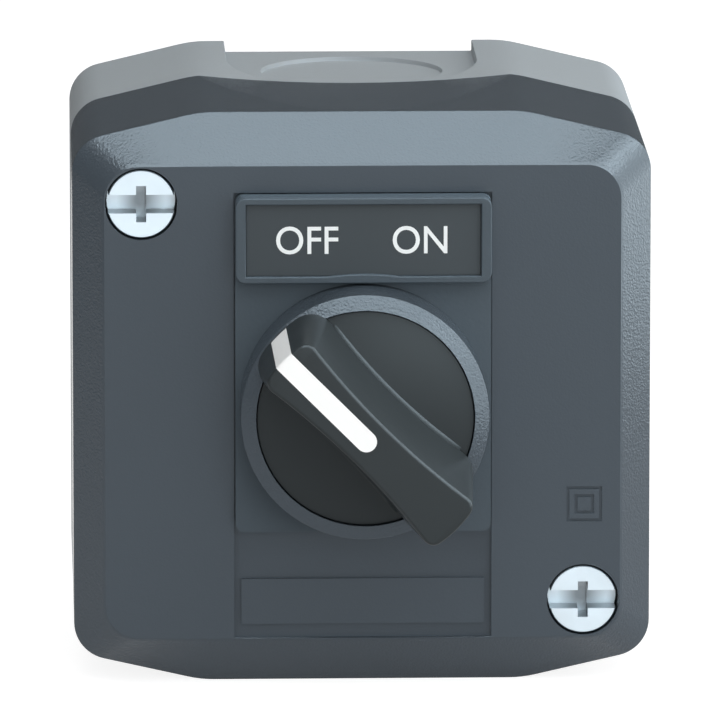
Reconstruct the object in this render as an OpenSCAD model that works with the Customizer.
// Surface-mounted control station with a two-position selector switch.
// Each piece is drawn lying on the wall plane, with Z towards the user, and face_user() stands it
// up: X to the right, Z up and the face towards -Y. The origin lies on the wall behind the switch.

/* [Enclosure] */
// Width of the box
box_w = 68; // [66:0.5:90]
// Height of the box
box_h = 68; // [67:0.5:90]
// Depth of the light back shell
base_d = 27; // [26.5:0.5:40]
// Depth of the dark cover with its chamfer
cover_d = 32; // [31:0.5:44]
// Wall of the back shell
base_wall = 3.2; // [3:0.1:4]
// Wall of the cover
cover_wall = 2.8; // [2.7:0.1:3.4]
// Back wall of the back shell
floor_t = 3; // [2:0.1:4]
// Front wall of the cover
front_t = 2.6; // [2.2:0.1:3.2]
// Radius of the four side corners
corner_r = 4.5; // [3:0.1:7]
// Depth of the chamfer round the face
chamfer_d = 4.4; // [2.5:0.1:6]
// Width of the chamfer at the sides
chamfer_side = 3.73; // [2:0.01:5]
// Width of the chamfer at top and bottom
chamfer_end = 5.85; // [3:0.01:7]
// Corner radius of the flat face
face_r = 4; // [2:0.1:6]
// Half width of the level part of top and bottom
crown_half = 19; // [17:0.1:24]
// Radius that blends the level part into the shoulders
crown_r = 14; // [6:0.5:20]
// Slope of the top shoulders in degrees
slope_top = 13.4; // [8:0.1:16]
// Slope of the bottom shoulders in degrees
slope_bottom = 12.8; // [8:0.1:16]
// Depth of the hollow across top and bottom at the joint
dip_depth = 1.03; // [0.4:0.01:1.3]
// Half width of that hollow at the joint
dip_half = 19.2; // [16:0.1:24]

/* [Cable entries] */
// Half width of the sunk entry seat
seat_half = 15.1; // [12.5:0.1:16]
// Depth of the entry seat
seat_depth = 1.35; // [0.6:0.01:1.4]
// Radius of the knock-out disc
knockout_r = 10.95; // [6:0.05:11.5]
// Depth of the knock-out disc below its seat
knockout_depth = 0.55; // [0.2:0.01:0.8]
// Distance of the entry from the wall
entry_z = 15.3; // [14:0.1:18]

/* [Wall fixing] */
// Spacing of the two wall screws, across and up
fixing_spacing = 50; // [46:0.5:51]
// Radius of the wall screw holes
fixing_r = 2.15; // [1.6:0.05:2.6]
// Radius of the bosses round those holes
fixing_boss_r = 4.6; // [4:0.1:5]
// Height of those bosses above the back wall
fixing_boss_h = 3; // [1:0.1:6]

/* [Cover screws] */
// Distance of a cover screw from the side of the box
screw_side = 8.05; // [8:0.05:10]
// Distance of a cover screw from the box's top or bottom
screw_end = 10.25; // [10:0.05:13]
// Radius of the screw head
screw_head_r = 4.02; // [3.4:0.02:4.2]
// Height of the screw head
screw_head_h = 4.6; // [4.2:0.1:6]
// Radius of the screw shank
screw_shank_r = 2; // [1.5:0.05:2.2]
// Depth of the head below the face
screw_sunk = 0.2; // [0:0.05:0.6]
// Length of the shank that enters the back shell
screw_grip = 12; // [8:0.5:16]
// Width of the screwdriver slot
slot_w = 2.2; // [1:0.05:2.4]
// Depth of the screwdriver slot
slot_depth = 3.2; // [1:0.1:3.4]
// Width of the cross recess
cross_w = 1.18; // [0.8:0.02:1.6]
// Length of the cross recess
cross_l = 4.3; // [3:0.1:5]
// Depth of the cross recess
cross_depth = 3.9; // [1.5:0.1:4]

/* [Label] */
// Width of the label holder
holder_w = 30; // [29:0.1:31]
// Height of the label holder
holder_h = 40; // [39:0.1:41]
// Top edge of the holder above the switch axis
holder_top = 24.9; // [24:0.1:25.5]
// Thickness of the holder plate
holder_t = 2.4; // [1.6:0.1:3]
// Height of the raised frame
frame_h = 10.1; // [9.5:0.1:10.2]
// Rise of the frame above its plate
frame_rise = 1.7; // [1:0.1:2.5]
// Corner radius of the frame
frame_r = 1.2; // [0.6:0.1:2]
// Width of the frame on each side of the insert
frame_side = 1.25; // [1:0.05:1.6]
// Height of the frame below and above the insert
frame_bar = 0.8; // [0.6:0.05:1]
// Half width of the thumb notch tab
tab_half = 4.2; // [2:0.1:6]
// Thickness of the insert
insert_t = 1.5; // [1:0.1:2]
// Depth of the insert's face below the frame
insert_sunk = 0.6; // [0.3:0.05:0.9]
// Depth of the channel in the cover
channel_depth = 0.8; // [0.4:0.05:1.2]
// Width of the bare pad below the holder
pad_w = 28.6; // [20:0.1:29.4]
// Height of the bare pad
pad_h = 5.4; // [3:0.1:6]
// Rise of the bare pad above the channel
pad_rise = 0.5; // [0.2:0.05:0.7]
// Size of the double square mark
mark_size = 4.2; // [3:0.1:5]

/* [Head] */
// Radius of the panel hole
hole_r = 11.15; // [11.1:0.05:11.3]
// Radius of the bezel
bezel_r = 14.5; // [14.2:0.05:14.9]
// Height of the bezel's side wall
bezel_h = 7.8; // [6.5:0.1:10]
// Width of the bezel's sloping rim
rim_w = 1.75; // [1.3:0.05:1.8]
// Rise of the rim towards its inner edge
rim_rise = 0.9; // [0.3:0.05:1.2]
// Depth of the cup that the handle turns in
cup_depth = 3.6; // [3:0.1:4.2]
// Radius of the threaded barrel
barrel_r = 11; // [10.9:0.02:11.04]
// Radius of the bore that carries the rotor
bore_r = 8.8; // [8.6:0.05:8.9]
// Radius of the chamber behind the bore
chamber_r = 9.6; // [9.55:0.05:9.8]
// Radius of the fixing nut
nut_r = 14.2; // [13.2:0.1:16]
// Thickness of the fixing nut
nut_t = 5; // [3:0.1:6]

/* [Handle] */
// Height of the grip above the bezel's outer edge
grip_h = 17.4; // [12:0.1:24]
// Radius of the grip's ends about the axis
grip_r = 14.1; // [13.6:0.05:14.3]
// Half width of the grip at its waist
waist_half = 2.7; // [2.3:0.05:3]
// Radius of the hollow sides of the grip
hollow_r = 94; // [80:1:120]
// Corner radius of the grip's top
grip_corner_r = 1.3; // [0.9:0.05:1.5]
// Draft of the grip's sides in degrees
grip_draft = 6; // [3:0.5:7]
// Radius of the grip's top edge
grip_edge_r = 0.5; // [0.2:0.05:0.8]
// Radius of the fillet between disc and grip
flare_r = 1.8; // [1:0.1:2.2]
// Rise of the domed disc
dome_rise = 1.1; // [0.5:0.05:1.6]
// Width of the white marker
marker_w = 2.45; // [1.4:0.05:3]
// Thickness of the white marker
marker_t = 0.8; // [0.5:0.05:1.2]
// Reach of the marker past the axis
marker_reach = 0.6; // [-2:0.1:4]

/* [Mechanism] */
// Turn from one position to the other in degrees
swing = 90; // [60:5:90]
// Travel of the pusher over that turn
travel = 4; // [2.5:0.1:4.2]
// Distance of the rotor's cams from the axis
cam_r = 6.1; // [5.9:0.05:6.2]
// Radius of the pusher's two fingers
finger_r = 1.5; // [1.2:0.05:1.6]
// Radius of the detent plungers
detent_r = 1.5; // [1:0.05:1.6]
// Width of the contact block
block_w = 12; // [11:0.1:14]
// Height of the contact block
block_h = 44; // [43:0.5:48]
// Depth of the box that the contact block leaves to its seat and the head
block_spare = 29; // [28.5:0.1:29.5]
// Shift of a terminal screw towards the axis, from midway between its strip and the block's end
terminal_shift = 0.6; // [0.1:0.1:1.1]

/* [Hidden] */
$fn = 96;

// Finish colours
cover_grey = "#4f575f";
base_grey = "#b0b5b8";
seal_grey = "#3a3c3e";
knob_black = "#3c4042";
label_dark = "#3a4041";
zinc = "#ced6da";
brass = "#c9a44c";
silver = "#d9dadb";
block_grey = "#6e7275";
plunger_green = "#3c8a4a";

// Shared allowances
overrun = 1;
flush_gap = 0.02;
fit_gap = 0.06;
slide_gap = 0.15;
free_gap = 0.3;
fusion = 0.2;

// Heights above the wall
face_z = base_d + cover_d;
rim_z = face_z - chamfer_d;
inner_face_z = face_z - front_t;
channel_z = face_z - channel_depth;
seat_z = channel_z + holder_t;
frame_z = seat_z + frame_rise;
bezel_z = seat_z + bezel_h;
cup_z = bezel_z - cup_depth;
top_z = bezel_z + grip_h;

// Outline and flat face
peak_steps = 4;
corner_steps = 12;
face_w = box_w - 2 * chamfer_side;
face_h = box_h - 2 * chamfer_end;

// Cover screws and their towers
screw_x = box_w / 2 - screw_side;
screw_y = box_h / 2 - screw_end;
screw_places = [[-screw_x, screw_y], [screw_x, -screw_y]];
head_gap = 0.23;
tower_wall = 1.15;
counterbore_r = screw_head_r + head_gap;
tower_r = counterbore_r + tower_wall;
head_top_z = face_z - screw_sunk;
head_seat_z = head_top_z - screw_head_h;
shank_gap = 0.3;
thread_gap = 0.05;
tip_room = 1.5;
post_r = screw_shank_r + thread_gap + base_wall;
retainer_w = 1.6;
retainer_t = 0.8;
pocket_gap = 0.3;
pocket_d = retainer_t + 2 * pocket_gap;

// Gasket groove in the rim of the back shell
groove_in = 1.7;
groove_out = cover_wall - flush_gap;
groove_depth = 1.2;
gasket_gap = 0.05;

// Wall screws stand on the diagonal that the cover screws leave free
fixing_places = [[1, 1], [-1, -1]] * (fixing_spacing / 2);

// Label
holder_r = 1;
insert_gap = 0.1;
window_w = holder_w - 2 * frame_side;
window_h = frame_h - 2 * frame_bar;
window_bottom = holder_top - frame_h + frame_bar;
channel_gap = 0.15;
channel_w = holder_w + 2 * channel_gap;
channel_bottom = -face_h / 2;
pad_gap = 1.65;
pad_bottom = channel_bottom + pad_gap;
mark_line = 0.35;
mark_depth = 0.3;
mark_inner_share = 0.55;
mark_x = face_w / 2 - mark_size;
mark_drop = 12.25;

// Key of the head in the panel hole
key_w = 2.9;
key_gap = 0.15;
key_reach = 1.55;

// Bezel and its barrel
rim_in_r = bezel_r - rim_w;
shoulder_drop = 8.6;
shoulder_z = seat_z - shoulder_drop;
rotor_reach = 10.6;
rotor_z = seat_z - rotor_reach;
head_groove_r = (hole_r + bezel_r) / 2;
head_groove_half = 0.9;
head_groove_d = 0.8;
detent_room = 2.5;
detent_z = shoulder_z + detent_room;
notch_r = 0.9;
notch_count = 4;
thread_clear = 0.05;
nut_ribs = 12;
nut_rib_r = 0.9;

// Rotor, cams and stops
rotor_r = bore_r - fit_gap;
disc_gap = 0.3;
disc_r = rim_in_r - disc_gap;
disc_lift = 0.4;
disc_z = cup_z + disc_lift;
spigot_w = 8;
spigot_l = 8;
spigot_gap = 0.08;
seal_r = 0.68;
seal_gap = 0.04;
seal_z = cup_z - 4;
clip_t = 0.9;
clip_lip = 0.56;
clip_grip = 0.85;
clip_gap = 0.1;
clip_z = shoulder_z - clip_gap - clip_t;
cam_half = 1.65;
cam_lead = 20;
cam_steps = 18;
skirt_t = 0.74;
skirt_l = 3.4;
lug_half = 9;
stop_play = 0.5;
stop_span = 12;
stop_gap = 0.26;
lug_at = 270;
cam_slope = atan(travel / (swing * PI / 180 * cam_r));
cam_gap = 0.08;

// Pusher
nose_over = 0.1;
tip_z = rotor_z - (finger_r + nose_over) * (1 / cos(cam_slope) - 1) - cam_gap;
finger_l = 5;
pusher_t = 2.5;
pusher_rim = 0.4;
pusher_z = tip_z - finger_l - pusher_t;
pusher_boss_r = 3;
pusher_boss_h = 2;
ear_w = 3;
pusher_back_z = pusher_z - pusher_boss_h;
barrel_back_z = pusher_z - travel + pusher_t / 10;
ear_slot_top_z = pusher_z + pusher_t + slide_gap;

// Handle
grip_z = bezel_z + rim_rise + disc_lift;
dome_z = bezel_z + rim_rise / 2;
dome_r = (pow(disc_r, 2) + pow(dome_rise, 2)) / (2 * dome_rise);
flare_steps = 6;
edge_steps = 3;
root_sunk = 0.15;
root_gap = 0.1;
pointer_at = 135;

// Contact block, from its own back upwards
push_gap = 0.1;
plunger_top_z = pusher_back_z - push_gap;
plunger_spare = 1.2;
block_top_z = plunger_top_z - travel - plunger_spare;
block_d = face_z - block_spare;
block_z = block_top_z - block_d;
block_wall = 1.6;
block_floor = 1.2;
stem_w = 5;
plunger_w = 6.8;
plunger_l = 19;
retain_gap = 0.3;
body_top_z = block_top_z - block_wall - retain_gap;
body_z = body_top_z - plunger_l;
window_drop = 13.5;
carrier_window_h = 7.4;
bridge_z = body_top_z - window_drop;
bridge_w = 4;
bridge_t = 0.8;
bridge_l = 14;
contact_tip_r = 1.2;
contact_tip_t = 0.6;
contact_y = 5.4;
contact_rest = 0.1;
fixed_tip_z = bridge_z - 2 * contact_tip_t - travel - contact_rest;
strip_t = 0.8;
strip_w = 5;
strip_gap = 0.15;
strip_start = contact_y - contact_tip_r;
strip_rise_y = 10.2;
strip_end_gap = 2.5;
strip_end_y = block_h / 2 - strip_end_gap;
strip_z = fixed_tip_z - strip_t;
terminal_rise = 11.5;
terminal_z = strip_z + terminal_rise;
centre_half = 8.6;
chamber_from_y = strip_rise_y - strip_gap;
terminal_y = (strip_rise_y + block_h / 2) / 2 - terminal_shift;
terminal_wall = 1.4;
terminal_room_y = chamber_from_y + strip_t + 2 * strip_gap;
terminal_room = block_h / 2 - terminal_wall - terminal_room_y;
terminal_floor_drop = 8;
screw_access_r = 3.2;
terminal_head_r = 2.8;
terminal_head_h = 2.2;
terminal_shank_r = 1.65;
terminal_slot_w = 0.8;
terminal_slot_d = 1.1;
clamp_w = 5.6;
clamp_share = 0.6;
clamp_lip = 0.665;
clamp_l = clamp_share * terminal_room + 2 * clamp_lip;
clamp_t = 1.6;
clamp_drop = 5;
clamp_reach = 2;
wire_w = 5.2;
wire_h = 4.6;
foot_l = 2;
foot_t = 2;
hook_gap = 0.1;
hook_t = 2;
hook_over = 1.4;
return_r = 2.6;
return_wire = 0.5;
return_turns = 5;
pressure_r = 1.45;
pressure_wire = 0.4;
pressure_turns = 6;
detent_coil_r = 1.1;
detent_wire = 0.35;
detent_turns = 7;

// Stands a piece that lies on the wall plane up to face the user.
module face_user() {
    rotate([90, 0, 0])
        children();
}

// Points of the arc of radius r that rounds the corner p between its neighbours a and b.
function unit(v) = v / norm(v);
function arc_points(p, a, b, r, steps) =
    let (u = unit(a - p), v = unit(b - p), half = acos(u * v) / 2,
        centre = p + unit(u + v) * r / sin(half),
        from = p + u * r / tan(half) - centre,
        turn = (180 - 2 * half) * sign(v.x * u.y - v.y * u.x))
    [for (i = [0 : steps]) let (t = turn * i / steps)
        centre + [from.x * cos(t) - from.y * sin(t), from.x * sin(t) + from.y * cos(t)]];

// Rectangle with round corners, centred.
module rounded_rectangle(w, h, r) {
    square([w - 2 * r, h], center = true);
    square([w, h - 2 * r], center = true);
    for (sx = [-1, 1], sy = [-1, 1])
        translate([sx * (w / 2 - r), sy * (h / 2 - r)])
            circle(r = r);
}

// Crowned outline, drawn in by inset: one quarter runs from the peak down the shoulder to the side.
function crown_x(slope, inset) = crown_half - inset * tan(slope / 2);
function shoulder_y(slope, inset) =
    box_h / 2 - inset - (box_w / 2 - inset - crown_x(slope, inset)) * tan(slope);
function outline_quarter(slope, inset) =
    let (peak = [crown_x(slope, inset), box_h / 2 - inset],
        corner = [box_w / 2 - inset, shoulder_y(slope, inset)])
    concat(
        arc_points(peak, peak - [crown_half, 0], corner, crown_r - inset, peak_steps),
        arc_points(corner, peak, corner - [0, crown_half], max(corner_r - inset, corner_r / 5), corner_steps)
    );
function reversed(list) = [for (i = [len(list) - 1 : -1 : 0]) list[i]];
function flipped(list, sx, sy) = [for (p = list) [sx * p.x, sy * p.y]];
function closed_outline(top, bottom) = concat(
    top,
    reversed(flipped(bottom, 1, -1)),
    flipped(bottom, -1, -1),
    reversed(flipped(top, -1, 1))
);

// Crowned outline of the box.
module box_outline(inset = 0) {
    polygon(closed_outline(outline_quarter(slope_top, inset), outline_quarter(slope_bottom, inset)));
}

// Chamfered front of the box, from the crowned outline to the flat face.
module chamfered_front() {
    hull() {
        translate([0, 0, rim_z - flush_gap])
            linear_extrude(flush_gap)
                box_outline();
        translate([0, 0, face_z - flush_gap])
            linear_extrude(flush_gap)
                rounded_rectangle(face_w, face_h, face_r, $fn = 64);
    }
}

// Ring that follows the outline between two insets, with its back at z.
module rim_ring(outer, inner, z, h) {
    translate([0, 0, z])
        difference() {
            linear_extrude(h)
                box_outline(outer);
            translate([0, 0, -overrun])
                linear_extrude(h + 2 * overrun)
                    box_outline(inner);
        }
}

// Hollow across top and bottom, dip_depth deep at the joint and fading to nothing at fade_z.
module dips(fade_z) {
    reach = abs(base_d - fade_z);
    dip_r = (pow(dip_half, 2) + pow(dip_depth, 2)) / (2 * dip_depth);
    lean = atan(dip_depth / reach) * sign(fade_z - base_d);
    for (side = [0, 1])
        mirror([0, side, 0])
            translate([0, box_h / 2 - dip_depth, base_d])
                rotate([-lean, 0, 0])
                    translate([0, dip_r, 0])
                        cylinder(r = dip_r, h = 3 * reach, center = true, $fn = 360);
}

// Places children at the two cover screws.
module at_screws() {
    for (p = screw_places)
        translate(p)
            children();
}

// Sector of a ring, from one angle to another in degrees.
module ring_sector(r_in, r_out, from, to) {
    far = 2 * r_out;
    difference() {
        intersection() {
            circle(r = r_out);
            polygon([
                [0, 0],
                far * [cos(from), sin(from)],
                far * [cos((from + to) / 2), sin((from + to) / 2)],
                far * [cos(to), sin(to)]
            ]);
        }
        circle(r = r_in);
    }
}

// Ring between two radii, with its back at z.
module ring(r_in, r_out, z, h) {
    translate([0, 0, z])
        difference() {
            cylinder(r = r_out, h = h);
            translate([0, 0, -overrun])
                cylinder(r = r_in, h = h + 2 * overrun);
        }
}

// Square wire-frame mark.
module square_line(size) {
    difference() {
        square(size, center = true);
        square(size - 2 * mark_line, center = true);
    }
}

// Round panel hole with its key notch on top.
module panel_hole(z, h) {
    translate([0, 0, z]) {
        cylinder(r = hole_r, h = h);
        translate([-key_w / 2 - key_gap, 0, 0])
            cube([key_w + 2 * key_gap, hole_r + key_reach + 2 * key_gap, h]);
    }
}

// Pin with a ball nose on top, l long in all.
module nosed_pin(r, l) {
    intersection() {
        cylinder(r = r, h = l + overrun);
        union() {
            translate([0, 0, l - r - nose_over])
                sphere(r = r + nose_over);
            translate([0, 0, -overrun])
                cylinder(r = 2 * r, h = l - r - nose_over + overrun);
        }
    }
}

// Closed-coil style helical spring from z up to z + l.
module coil_spring(r, wire, turns, z, l) {
    sides = 6;
    steps = 16;
    n = round(turns * steps);
    rise = l - wire;
    rings = [
        for (i = [0 : n])
            let (a = 360 * i / steps, zc = z + wire / 2 + rise * i / n)
                for (k = [0 : sides - 1])
                    let (b = 360 * k / sides, d = r + wire / 2 * cos(b))
                        [d * cos(a), d * sin(a), zc + wire / 2 * sin(b)]
    ];
    skins = [
        for (i = [0 : n - 1], k = [0 : sides - 1])
            let (q = i * sides, m = (k + 1) % sides)
                each [[q + k, q + sides + k, q + m], [q + m, q + sides + k, q + sides + m]]
    ];
    ends = concat(
        [for (k = [1 : sides - 2]) [0, k, k + 1]],
        [for (k = [1 : sides - 2]) let (q = n * sides) [q, q + k + 1, q + k]]
    );
    polyhedron(points = rings, faces = concat(skins, ends), convexity = 10);
}

// Light back shell: tray with screw posts, wall bosses, entry seats and hooks for the contact block.
module base() {
    module wall_bosses() {
        for (p = fixing_places)
            translate(p)
                cylinder(r = fixing_boss_r, h = floor_t + fixing_boss_h);
    }
    module entry_seats() {
        for (side = [0, 1])
            mirror([0, side, 0])
                translate([0, box_h / 2, 0])
                    rotate([90, 0, 0]) {
                        translate([0, entry_z, -overrun])
                            cylinder(r = seat_half, h = seat_depth + overrun);
                        translate([-seat_half, -overrun, -overrun])
                            cube([2 * seat_half, entry_z + overrun, seat_depth + overrun]);
                        translate([0, entry_z, 0])
                            cylinder(r = knockout_r, h = seat_depth + knockout_depth);
                    }
    }
    module block_seat() {
        hook_y = block_h / 2 + foot_l + hook_gap;
        hook_top = block_z + foot_t + hook_gap + hook_over;
        translate([-block_w / 2, -hook_y, 0])
            cube([block_w, 2 * hook_y, block_z]);
        for (side = [0, 1])
            mirror([0, side, 0]) {
                translate([-block_w / 2, hook_y, 0])
                    cube([block_w, hook_t, hook_top]);
                translate([-block_w / 2, hook_y - hook_over, hook_top - hook_over])
                    cube([block_w, hook_over + hook_t, hook_over]);
            }
    }
    color(base_grey)
        face_user()
            difference() {
                union() {
                    difference() {
                        linear_extrude(base_d)
                            box_outline();
                        translate([0, 0, floor_t])
                            linear_extrude(base_d)
                                box_outline(base_wall);
                    }
                    intersection() {
                        linear_extrude(base_d)
                            box_outline();
                        union() {
                            wall_bosses();
                            at_screws()
                                cylinder(r = post_r, h = base_d);
                            block_seat();
                        }
                    }
                }
                dips(0);
                entry_seats();
                rim_ring(groove_in, groove_out, base_d - groove_depth, groove_depth + overrun);
                at_screws()
                    translate([0, 0, base_d - screw_grip - tip_room])
                        cylinder(r = screw_shank_r + thread_gap, h = base_d);
                for (p = fixing_places)
                    translate([p.x, p.y, -overrun])
                        cylinder(r = fixing_r, h = floor_t + fixing_boss_h + 2 * overrun);
            }
}

// Dark cover: crowned shell with a chamfered face, a channel for the label and two screw towers.
module cover() {
    module outside() {
        translate([0, 0, base_d])
            linear_extrude(rim_z - base_d)
                box_outline();
        chamfered_front();
    }
    module inside() {
        translate([0, 0, base_d - overrun])
            linear_extrude(rim_z - cover_wall / 2 - base_d + overrun)
                box_outline(cover_wall);
        translate([0, 0, base_d])
            linear_extrude(inner_face_z - base_d)
                rounded_rectangle(face_w - 2 * cover_wall, face_h - 2 * cover_wall, face_r);
    }
    module channel() {
        channel_h = holder_top + channel_gap - channel_bottom;
        difference() {
            translate([-channel_w / 2, channel_bottom, channel_z])
                cube([channel_w, channel_h, channel_depth + overrun]);
            translate([-pad_w / 2, pad_bottom, channel_z - overrun])
                cube([pad_w, pad_h, pad_rise + overrun]);
        }
    }
    module double_square() {
        translate([mark_x, -mark_drop, face_z - mark_depth])
            linear_extrude(mark_depth + overrun) {
                square_line(mark_size);
                square_line(mark_size * mark_inner_share);
            }
    }
    color(cover_grey)
        face_user()
            difference() {
                union() {
                    difference() {
                        outside();
                        inside();
                    }
                    at_screws()
                        translate([0, 0, base_d])
                            cylinder(r = tower_r, h = inner_face_z - base_d + fusion);
                }
                dips(rim_z);
                channel();
                double_square();
                panel_hole(inner_face_z - overrun, front_t + 2 * overrun);
                at_screws() {
                    cylinder(r = screw_shank_r + shank_gap, h = face_z);
                    translate([0, 0, head_seat_z])
                        cylinder(r = counterbore_r, h = screw_head_h + face_z);
                    translate([0, 0, base_d - overrun])
                        cylinder(r = screw_shank_r + retainer_w + pocket_gap, h = pocket_d + overrun);
                }
            }
}

// Seal in the groove of the back shell.
module cover_gasket() {
    color(seal_grey)
        face_user()
            rim_ring(groove_in + gasket_gap, groove_out - gasket_gap, base_d - groove_depth, groove_depth);
}

// Two cheese-head screws with a slot and a cross recess.
module cover_screws() {
    module one_screw() {
        difference() {
            union() {
                translate([0, 0, head_seat_z])
                    cylinder(r = screw_head_r, h = screw_head_h);
                translate([0, 0, base_d - screw_grip])
                    cylinder(r = screw_shank_r, h = head_seat_z - base_d + screw_grip + fusion);
            }
            translate([-screw_head_r - overrun, -slot_w / 2, head_top_z - slot_depth])
                cube([2 * (screw_head_r + overrun), slot_w, slot_depth + overrun]);
            translate([-cross_w / 2, -cross_l / 2, head_top_z - cross_depth])
                cube([cross_w, cross_l, cross_depth + overrun]);
        }
    }
    color(zinc)
        face_user()
            at_screws()
                one_screw();
}

// Washers pushed on the shanks behind the towers.
module screw_retainers() {
    color(zinc)
        face_user()
            at_screws()
                ring(screw_shank_r + thread_gap, screw_shank_r + retainer_w,
                    base_d + pocket_gap, retainer_t);
}

// Label holder: plate behind the bezel with a raised frame for the insert.
module legend_holder() {
    module plate_outline() {
        translate([0, holder_top - holder_h / 2])
            rounded_rectangle(holder_w, holder_h, holder_r);
    }
    module frame_outline() {
        translate([0, holder_top - frame_h / 2])
            rounded_rectangle(holder_w, frame_h, frame_r);
    }
    module thumb_tab() {
        tab_r = (pow(tab_half, 2) + pow(frame_bar, 2)) / (2 * frame_bar);
        intersection() {
            translate([0, window_bottom + frame_bar - tab_r])
                circle(r = tab_r, $fn = 360);
            translate([-tab_half, window_bottom - frame_bar])
                square([2 * tab_half, 2 * frame_bar]);
        }
    }
    pocket_z = frame_z - insert_sunk - insert_t;
    color(cover_grey)
        face_user() {
            difference() {
                union() {
                    translate([0, 0, channel_z])
                        linear_extrude(holder_t)
                            plate_outline();
                    translate([0, 0, channel_z])
                        linear_extrude(frame_z - channel_z)
                            frame_outline();
                }
                translate([-window_w / 2, window_bottom, pocket_z])
                    cube([window_w, window_h, frame_z]);
                panel_hole(channel_z - overrun, frame_z);
            }
            translate([0, 0, frame_z - insert_sunk])
                linear_extrude(insert_sunk)
                    thumb_tab();
        }
}

// Dark insert of the label holder.
module legend_plate() {
    color(label_dark)
        face_user()
            translate([-window_w / 2 + insert_gap, window_bottom + insert_gap, frame_z - insert_sunk - insert_t])
                cube([window_w - 2 * insert_gap, window_h - 2 * insert_gap, insert_t]);
}

// Flat seal under the bezel.
module head_gasket() {
    color(seal_grey)
        face_user()
            ring(head_groove_r - head_groove_half + gasket_gap,
                head_groove_r + head_groove_half - gasket_gap, seat_z, head_groove_d - gasket_gap);
}

// Bezel with its barrel: cup for the handle, bore, detent grooves, rotation stops and ear slots.
module bezel() {
    module body() {
        rotate_extrude()
            polygon([
                [bore_r, cup_z],
                [rim_in_r, cup_z],
                [rim_in_r, bezel_z + rim_rise],
                [bezel_r, bezel_z],
                [bezel_r, seat_z],
                [barrel_r, seat_z],
                [barrel_r, barrel_back_z],
                [chamber_r, barrel_back_z],
                [chamber_r, shoulder_z],
                [bore_r, shoulder_z]
            ]);
        translate([-key_w / 2, bore_r + fit_gap, inner_face_z])
            cube([key_w, hole_r + key_reach - bore_r - fit_gap, seat_z - inner_face_z]);
    }
    module stops() {
        for (from = [lug_at + lug_half + stop_play, lug_at - swing - lug_half - stop_play - stop_span])
            translate([0, 0, rotor_z - skirt_l])
                linear_extrude(skirt_l)
                    ring_sector(rotor_r + stop_gap, chamber_r + fusion, from, from + stop_span);
    }
    color(cover_grey)
        face_user() {
            difference() {
                body();
                ring(head_groove_r - head_groove_half, head_groove_r + head_groove_half,
                    seat_z - overrun, head_groove_d + overrun);
                for (i = [0 : notch_count - 1])
                    rotate([0, 0, 360 / notch_count * i])
                        translate([bore_r + notch_r / 4, 0, shoulder_z - overrun])
                            cylinder(r = notch_r, h = 2 * detent_room + overrun);
                for (side = [0, 1])
                    mirror([0, side, 0])
                        translate([-ear_w / 2 - slide_gap, 0, barrel_back_z - overrun])
                            cube([ear_w + 2 * slide_gap, barrel_r + overrun,
                                ear_slot_top_z - barrel_back_z + overrun]);
            }
            stops();
        }
}

// Ring nut that clamps the head to the cover.
module fixing_nut() {
    color(knob_black)
        face_user()
            translate([0, 0, inner_face_z - nut_t])
                difference() {
                    union() {
                        cylinder(r = nut_r, h = nut_t);
                        for (i = [0 : nut_ribs - 1])
                            rotate([0, 0, 360 / nut_ribs * i])
                                translate([nut_r, 0, 0])
                                    cylinder(r = nut_rib_r, h = nut_t);
                    }
                    translate([0, 0, -overrun])
                        cylinder(r = barrel_r + thread_clear, h = nut_t + 2 * overrun);
                }
}

// The grip's outline has two hollow sides, four round corners and two round ends, which are arcs
// about fixed centres, so every row of its skin is the same outline pushed out by a distance.
side_y = waist_half + hollow_r;
corner_reach = grip_r - grip_corner_r;
corner_y = (pow(corner_reach, 2) - pow(hollow_r + grip_corner_r, 2) + pow(side_y, 2)) / (2 * side_y);
corner_x = sqrt(pow(corner_reach, 2) - pow(corner_y, 2));
end_half = atan(corner_y / corner_x);
side_half = asin(corner_x / (hollow_r + grip_corner_r));
side_shares = [0.93, 0.8, 0.6, 0.4, 0.2, 0];
function drafted(z) = (top_z - z) * tan(grip_draft);

// Points of one quarter at the end and the corner, pushed out by d, at height z.
function end_points(d, z) = concat(
    [for (i = [0 : 3]) let (a = end_half * i / 4)
        [(grip_r + d) * cos(a), (grip_r + d) * sin(a), z]],
    [for (i = [0 : 5]) let (a = end_half + (90 + side_half - end_half) * i / 5, r = grip_corner_r + d)
        [corner_x + r * cos(a), corner_y + r * sin(a), z]]
);
function side_point(share, d) = let (a = side_half * share)
    [(hollow_r - d) * sin(a), side_y - (hollow_r - d) * cos(a)];

// Side points where the fillet, which rises from just under the dome, has turned by the angle turn.
root_push = drafted(dome_z) + flare_r;
function flare_point(share, turn) =
    let (root = side_point(share, root_push),
        z = dome_z + dome_rise - root_sunk - root * root / (2 * dome_r) + flare_r * (1 - cos(turn)),
        p = side_point(share, drafted(z) + flare_r * (1 - sin(turn))))
    [p.x, p.y, z];

// Quarter rows from the root up: inside the disc's circle, then free of it, then the round top edge.
root_limit = disc_r - root_gap;
function held(p) = let (r = norm([p.x, p.y]), k = min(1, root_limit / r)) [p.x * k, p.y * k, p.z];
function root_row(i) = let (z = dome_z + (grip_z - dome_z) * i / (flare_steps - 2)) [
    for (p = concat(end_points(drafted(z), z),
        [for (share = side_shares) flare_point(share, 90 * i / flare_steps)])) held(p)
];
function free_row(i) = let (z = i == flare_steps ? dome_z + flare_r : grip_z + root_gap)
    concat(end_points(drafted(z), z), [for (share = side_shares) flare_point(share, 90 * i / flare_steps)]);
function edge_row(i) =
    let (a = 90 * i / edge_steps, z = top_z - grip_edge_r * (1 - sin(a)),
        d = drafted(top_z - grip_edge_r) - grip_edge_r * (1 - cos(a)))
    concat(end_points(d, z), [for (share = side_shares) let (p = side_point(share, d)) [p.x, p.y, z]]);
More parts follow.
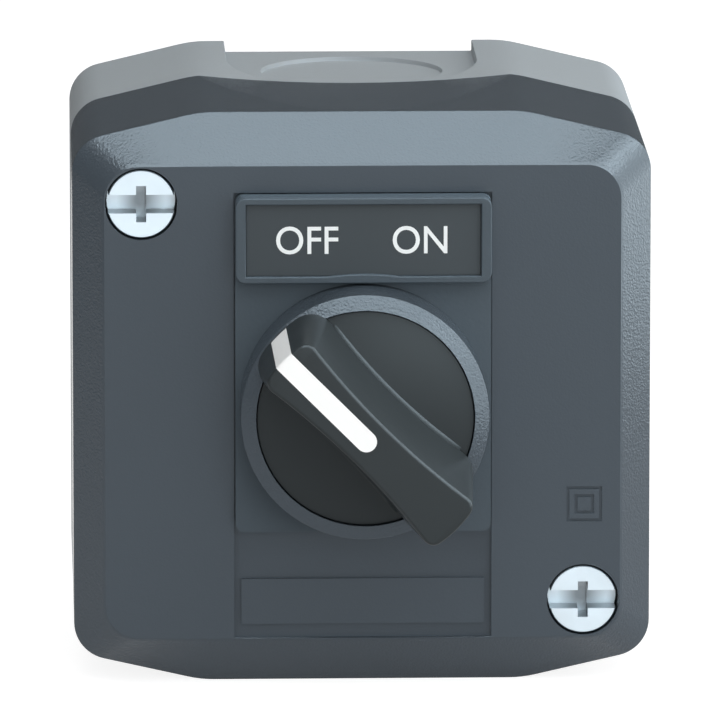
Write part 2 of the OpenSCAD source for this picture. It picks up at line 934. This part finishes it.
function sunk_row(row) = [for (p = row) [p.x, p.y, disc_z + root_gap]];
quarter_rows = concat(
    [sunk_row(root_row(0))],
    [for (i = [0 : flare_steps - 2]) root_row(i)],
    [for (i = [flare_steps - 1, flare_steps]) free_row(i)],
    [for (i = [0 : edge_steps]) edge_row(i)]
);
function whole_row(q) = let (n = len(q)) concat(
    q,
    [for (i = [n - 2 : -1 : 0]) [-q[i].x, q[i].y, q[i].z]],
    [for (i = [1 : n - 1]) [-q[i].x, -q[i].y, q[i].z]],
    [for (i = [n - 2 : -1 : 1]) [q[i].x, -q[i].y, q[i].z]]
);

// Grip with its fillets, pointing along +X.
module grip() {
    rows = [for (q = quarter_rows) whole_row(q)];
    m = len(rows[0]);
    n = len(rows);
    skins = [
        for (i = [0 : n - 2], k = [0 : m - 1])
            let (q = i * m, next = (k + 1) % m)
                each [[q + k, q + m + k, q + next], [q + next, q + m + k, q + m + next]]
    ];
    strips = [for (k = [0 : m / 2 - 1]) [k, k + 1, m - k - 1, (m - k) % m]];
    bottom = [
        for (s = strips)
            each [if (s[1] != s[2]) [s[0], s[1], s[2]], if (s[3] != s[0]) [s[0], s[2], s[3]]]
    ];
    top = [
        for (s = strips)
            let (q = (n - 1) * m)
                each [
                    if (s[1] != s[2]) [q + s[2], q + s[1], q + s[0]],
                    if (s[3] != s[0]) [q + s[3], q + s[2], q + s[0]]
                ]
    ];
    polyhedron(points = [for (row = rows) each row], faces = concat(skins, bottom, top), convexity = 6);
}

// Room of the marker strip: a band over the top and down the pointing end.
module marker_band(gap = 0) {
    half = marker_w / 2 + gap;
    floor_r = grip_r - marker_t - gap;
    difference() {
        translate([0, 0, grip_z + marker_t - gap])
            linear_extrude(top_z)
                polygon(concat(
                    [for (a = [90 : 15 : 270])
                        [marker_w / 2 - marker_reach + half * cos(a), half * sin(a)]],
                    [[grip_r + marker_w, -half], [grip_r + marker_w, half]]
                ));
        cylinder(r = floor_r, h = top_z - marker_t - gap);
    }
}

// Black handle: domed disc, waisted grip with its fillets, and the square spigot.
module handle() {
    color(knob_black)
        face_user()
            rotate([0, 0, pointer_at]) {
                difference() {
                    union() {
                        grip();
                        intersection() {
                            translate([0, 0, dome_z + dome_rise - dome_r])
                                sphere(r = dome_r, $fn = 360);
                            translate([0, 0, disc_z])
                                cylinder(r = disc_r, h = top_z);
                        }
                    }
                    marker_band();
                }
                translate([-spigot_w / 2, -spigot_w / 2, disc_z - spigot_l])
                    cube([spigot_w, spigot_w, spigot_l + fusion]);
            }
}

// White strip let into the grip.
module handle_marker() {
    color("white")
        face_user()
            rotate([0, 0, pointer_at])
                intersection() {
                    grip();
                    marker_band();
                }
}

// Helical cam: annular wedge that falls by travel over the swing, seen from the rotor.
module cam(at) {
    r_in = cam_r - cam_half;
    r_out = cam_r + cam_half;
    root_z = rotor_z + fusion;
    last = swing + cam_lead;
    angles = [for (i = [0 : cam_steps]) last * i / cam_steps];
    function fall(a) = rotor_z - travel * min(a, swing) / swing;
    points = [
        for (a = angles)
            let (c = cos(at + a), s = sin(at + a))
                each [
                    [r_in * c, r_in * s, root_z],
                    [r_out * c, r_out * s, root_z],
                    [r_out * c, r_out * s, fall(a)],
                    [r_in * c, r_in * s, fall(a)]
                ]
    ];
    skins = [
        for (i = [0 : cam_steps - 1], k = [0 : 3])
            let (q = 4 * i, m = (k + 1) % 4)
                each [[q + k, q + 4 + k, q + m], [q + m, q + 4 + k, q + 4 + m]]
    ];
    far = 4 * cam_steps;
    ends = [[0, 1, 2], [0, 2, 3], [far, far + 2, far + 1], [far, far + 3, far + 2]];
    polyhedron(points = points, faces = concat(skins, ends), convexity = 4);
}

// Rotor: shaft with a square socket, seal and clip grooves, detent hole, skirt with lug, and cams.
module rotor() {
    color(block_grey)
        face_user() {
            difference() {
                union() {
                    translate([0, 0, rotor_z])
                        cylinder(r = rotor_r, h = disc_z - rotor_z);
                    ring(rotor_r - skirt_t, rotor_r, rotor_z - skirt_l, skirt_l + fusion);
                    translate([0, 0, rotor_z - skirt_l])
                        linear_extrude(skirt_l)
                            ring_sector(rotor_r - skirt_t / 2, chamber_r - stop_gap,
                                lug_at - lug_half, lug_at + lug_half);
                }
                rotate([0, 0, pointer_at])
                    translate([-spigot_w / 2 - spigot_gap, -spigot_w / 2 - spigot_gap,
                            disc_z - spigot_l - free_gap])
                        cube([spigot_w + 2 * spigot_gap, spigot_w + 2 * spigot_gap,
                            spigot_l + free_gap + overrun]);
                ring(bore_r - 2 * (seal_r + seal_gap), bore_r + overrun,
                    seal_z - seal_r - seal_gap, 2 * (seal_r + seal_gap));
                ring(rotor_r - clip_grip, rotor_r + overrun, clip_z - clip_gap / 2, clip_t + clip_gap);
                translate([0, 0, detent_z])
                    rotate([0, 90, 0])
                        cylinder(r = detent_r + fit_gap, h = 3 * rotor_r, center = true);
            }
            for (at = [0, 180])
                cam(at);
        }
}

// Round seal of the rotor.
module rotor_seal() {
    color(seal_grey)
        face_user()
            translate([0, 0, seal_z])
                rotate_extrude()
                    translate([bore_r - seal_gap * 2 - seal_r, 0])
                        circle(r = seal_r - seal_gap / 2, $fn = 32);
}

// Open ring that holds the rotor behind the shoulder of the bore.
module rotor_clip() {
    opening = 50;
    color(zinc)
        face_user()
            translate([0, 0, clip_z])
                linear_extrude(clip_t)
                    union() {
                        for (from = [90 + opening / 2, 90 + opening / 2 + (360 - opening) / 3,
                                90 + opening / 2 + 2 * (360 - opening) / 3])
                            ring_sector(rotor_r - clip_grip + thread_gap, rotor_r + clip_lip,
                                from, from + (360 - opening) / 3);
                    }
}

// Two round-nosed plungers in the cross hole of the rotor.
module detent_plungers() {
    inner = detent_turns * detent_wire * 1.25;
    color(zinc)
        face_user()
            translate([0, 0, detent_z])
                for (side = [0, 180])
                    rotate([0, 90, side])
                        translate([0, 0, inner])
                            nosed_pin(detent_r, rotor_r - inner);
}

// Spring between the detent plungers.
module detent_spring() {
    inner = detent_turns * detent_wire * 1.25;
    color(silver)
        face_user()
            translate([0, 0, detent_z])
                rotate([0, 90, 0])
                    coil_spring(detent_coil_r, detent_wire, detent_turns, -inner + thread_gap,
                        2 * (inner - thread_gap));
}

// Pusher: disc with two round-nosed fingers under the cams, two guiding ears and a back boss.
module pusher() {
    color(knob_black)
        face_user() {
            translate([0, 0, pusher_z]) {
                cylinder(r = cam_r + finger_r + pusher_rim, h = pusher_t);
                intersection() {
                    cylinder(r = barrel_r - slide_gap, h = pusher_t);
                    translate([-ear_w / 2, -barrel_r, 0])
                        cube([ear_w, 2 * barrel_r, pusher_t]);
                }
            }
            translate([0, 0, pusher_back_z])
                cylinder(r = pusher_boss_r, h = pusher_boss_h + fusion);
            for (side = [-1, 1])
                translate([side * cam_r, 0, pusher_z + pusher_t - fusion])
                    nosed_pin(finger_r, finger_l + fusion);
        }
}

// Stands a profile drawn as [up, forward] across the block, from x to x + w.
module across(x, w) {
    translate([x, 0, 0])
        rotate([90, 0, 90])
            linear_extrude(w)
                children();
}

// Rooms of the contact block in profile: middle, two terminal chambers and the strip slots.
module block_rooms() {
    top = block_top_z - block_wall;
    translate([-centre_half, block_z + block_floor])
        square([2 * centre_half, top - block_z - block_floor]);
    for (side = [0, 1])
        mirror([side, 0]) {
            translate([terminal_room_y, terminal_z - terminal_floor_drop])
                square([terminal_room, top - terminal_z + terminal_floor_drop]);
            translate([strip_start, strip_z])
                square([terminal_room_y - strip_start, strip_t + 2 * strip_gap]);
            translate([chamber_from_y, strip_z])
                square([strip_t + 2 * strip_gap, top - strip_z]);
        }
}

// Outline of the contact block in profile, with its foot.
module block_outline() {
    translate([-block_h / 2, block_z])
        square([block_h, block_d]);
    translate([-block_h / 2 - foot_l, block_z])
        square([block_h + 2 * foot_l, foot_t]);
}

// Housing of the contact block, open on the right where the side plate closes it.
module contact_housing() {
    room_w = block_w - block_wall;
    color(block_grey)
        face_user()
            difference() {
                across(-block_w / 2, room_w)
                    block_outline();
                across(-block_w / 2 + block_wall, block_w)
                    block_rooms();
                translate([-stem_w / 2 - slide_gap, -stem_w / 2 - slide_gap, block_top_z - block_wall - overrun])
                    cube([stem_w + 2 * slide_gap, stem_w + 2 * slide_gap, block_wall + 2 * overrun]);
                for (side = [-1, 1]) {
                    translate([0, side * terminal_y, block_top_z - block_wall - overrun])
                        cylinder(r = screw_access_r, h = block_wall + 2 * overrun);
                    translate([-wire_w / 2, side * (block_h / 2 - terminal_wall / 2) - terminal_wall,
                            terminal_z - wire_h])
                        cube([wire_w, 2 * terminal_wall, wire_h]);
                }
            }
}

// Plate that closes the side of the contact block.
module contact_side_plate() {
    color(block_grey)
        face_user()
            across(block_w / 2 - block_wall, block_wall)
                block_outline();
}

// Plunger with its stem and the window that carries the bridge.
module contact_plunger() {
    window_x = bridge_w / 2 + slide_gap;
    color(plunger_green)
        face_user() {
            difference() {
                translate([-plunger_w / 2, -plunger_w / 2, body_z])
                    cube([plunger_w, plunger_w, plunger_l]);
                translate([-window_x, -plunger_w, bridge_z])
                    cube([2 * window_x, 2 * plunger_w, carrier_window_h]);
            }
            translate([-stem_w / 2, -stem_w / 2, body_top_z - fusion])
                cube([stem_w, stem_w, plunger_top_z - body_top_z + fusion]);
        }
}

// Moving bridge that joins the two fixed contacts.
module contact_bridge() {
    color(brass)
        face_user()
            translate([-bridge_w / 2, -bridge_l / 2, bridge_z])
                cube([bridge_w, bridge_l, bridge_t]);
}

// Contact tips under the bridge.
module moving_contacts() {
    color(silver)
        face_user()
            for (side = [-1, 1])
                translate([0, side * contact_y, bridge_z - contact_tip_t])
                    cylinder(r = contact_tip_r, h = contact_tip_t, $fn = 48);
}

// Spring that holds the bridge down in its window.
module pressure_spring() {
    color(silver)
        face_user()
            coil_spring(pressure_r, pressure_wire, pressure_turns, bridge_z + bridge_t + thread_gap,
                carrier_window_h - bridge_t - 2 * thread_gap);
}

// Spring that lifts the plunger.
module return_spring() {
    from = block_z + block_floor;
    color(silver)
        face_user()
            coil_spring(return_r, return_wire, return_turns, from + thread_gap,
                body_z - from - 2 * thread_gap);
}

// Fixed contact strip with its tip, from the bridge out to the terminal.
module fixed_contact(side) {
    outline = [
        [strip_start, strip_z],
        [strip_rise_y + strip_t, strip_z],
        [strip_rise_y + strip_t, terminal_z - strip_t],
        [strip_end_y, terminal_z - strip_t],
        [strip_end_y, terminal_z],
        [strip_rise_y, terminal_z],
        [strip_rise_y, strip_z + strip_t],
        [strip_start, strip_z + strip_t]
    ];
    mirror([0, side, 0]) {
        color(brass)
            difference() {
                across(-strip_w / 2, strip_w)
                    polygon(outline);
                translate([0, terminal_y, terminal_z - strip_t - overrun])
                    cylinder(r = terminal_shank_r + slide_gap, h = strip_t + 2 * overrun);
            }
        color(silver)
            translate([0, contact_y, fixed_tip_z - fusion])
                cylinder(r = contact_tip_r, h = contact_tip_t + fusion, $fn = 48);
    }
}

// Strip of the upper terminal.
module fixed_contact_upper() {
    face_user()
        fixed_contact(0);
}

// Strip of the lower terminal.
module fixed_contact_lower() {
    face_user()
        fixed_contact(1);
}

// Threaded plates that draw the wires against the strips.
module terminal_clamps() {
    color(zinc)
        face_user()
            for (side = [-1, 1])
                translate([0, side * terminal_y, terminal_z - clamp_drop])
                    difference() {
                        translate([-clamp_w / 2, -clamp_l / 2, 0])
                            cube([clamp_w, clamp_l, clamp_t]);
                        translate([0, 0, -overrun])
                            cylinder(r = terminal_shank_r + thread_gap, h = clamp_t + 2 * overrun);
                    }
}

// Slotted screws of the terminals.
module terminal_screws() {
    color(zinc)
        face_user()
            for (side = [-1, 1])
                translate([0, side * terminal_y, terminal_z])
                    difference() {
                        union() {
                            cylinder(r = terminal_head_r, h = terminal_head_h);
                            translate([0, 0, -clamp_drop - clamp_reach])
                                cylinder(r = terminal_shank_r, h = clamp_drop + clamp_reach + fusion);
                        }
                        translate([-terminal_head_r - overrun, -terminal_slot_w / 2,
                                terminal_head_h - terminal_slot_d])
                            cube([2 * (terminal_head_r + overrun), terminal_slot_w,
                                terminal_slot_d + overrun]);
                    }
}

base();
cover();
cover_gasket();
cover_screws();
screw_retainers();
legend_holder();
legend_plate();
head_gasket();
bezel();
fixing_nut();
handle();
handle_marker();
rotor();
rotor_seal();
rotor_clip();
detent_plungers();
detent_spring();
pusher();
contact_housing();
contact_side_plate();
contact_plunger();
contact_bridge();
moving_contacts();
pressure_spring();
return_spring();
fixed_contact_upper();
fixed_contact_lower();
terminal_clamps();
terminal_screws();
